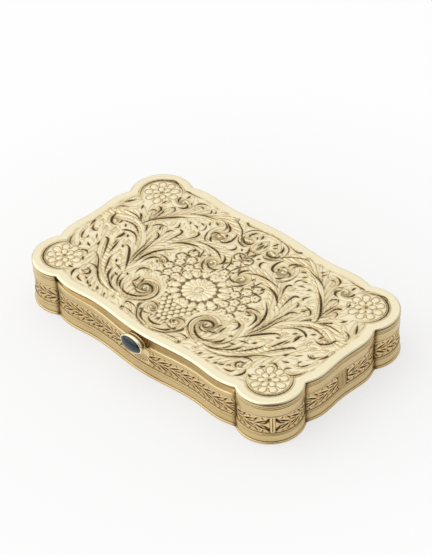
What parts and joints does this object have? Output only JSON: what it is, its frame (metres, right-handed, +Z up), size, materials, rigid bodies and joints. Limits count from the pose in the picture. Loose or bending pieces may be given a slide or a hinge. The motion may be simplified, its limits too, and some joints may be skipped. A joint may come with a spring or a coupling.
{
  "type": "snuff box",
  "caption": "Flat gold snuff box of lobed serpentine outline with chased hinged lid, laurel side border and a push piece set with an oval cabochon that frees a hidden catch",
  "frame": {"origin": "centre of the flat underside of the base", "axes": "+X along the long sides, +Y towards the hinge, +Z up through the lid"},
  "size_m": [0.0868, 0.0558, 0.0128],
  "materials": {
    "gold": "warm yellow gold alloy, soft polish, brown patina in the cuts",
    "pale_gold": "pale yellow gold alloy, chased, polished border",
    "inner_gold": "plain polished gold alloy sheet",
    "pin_steel": "drawn steel wire",
    "spring_steel": "hardened spring steel",
    "cabochon_stone": "polished dark blue-green stone"
  },
  "bodies": {
    "body": {"base_plate": "gold", "base_rim": "gold", "wall_band": "gold", "top_rim": "gold", "body_lining": "inner_gold", "catch_cover": "inner_gold", "body_hinge_bearer": "gold", "body_knuckle_1": "gold", "body_knuckle_2": "gold", "body_knuckle_3": "gold", "body_knuckle_4": "gold", "hinge_pin": "pin_steel", "push_collar": "gold", "spring_block": "gold", "spring_rivet_1": "pin_steel", "spring_rivet_2": "pin_steel"},
    "lid": {"lid_plate": "pale_gold", "lid_rim": "gold", "thumb_rail": "gold", "lid_lining": "inner_gold", "lid_hinge_bearer": "gold", "lid_knuckle_1": "gold", "lid_knuckle_2": "gold", "lid_knuckle_3": "gold", "keeper": "gold"},
    "push_piece": {"push_collet": "gold", "cabochon": "cabochon_stone", "push_stem": "gold"},
    "catch": {"catch_spring": "spring_steel", "catch_nose": "spring_steel"}
  },
  "joints": [
    {"name": "lid_hinge", "type": "hinge", "parent": "body", "child": "lid", "pos_m": [0, 0.0262, 0.01], "axis": [-1, 0, 0], "range_deg": [0, 100]},
    {"name": "push_slide", "type": "slide", "parent": "body", "child": "push_piece", "axis": [0, 1, 0], "range_m": [0, 0.0006], "stiffness_N_per_m": 2000},
    {"name": "catch_swing", "type": "hinge", "parent": "body", "child": "catch", "pos_m": [-0.012, -0.02305, 0.0093], "axis": [0, 0, 1], "range_deg": [0, 3.1]}
  ],
  "couplings": [
    {"joint": "catch_swing", "follows": "push_slide", "rad_per_m": 87.719}
  ]
}
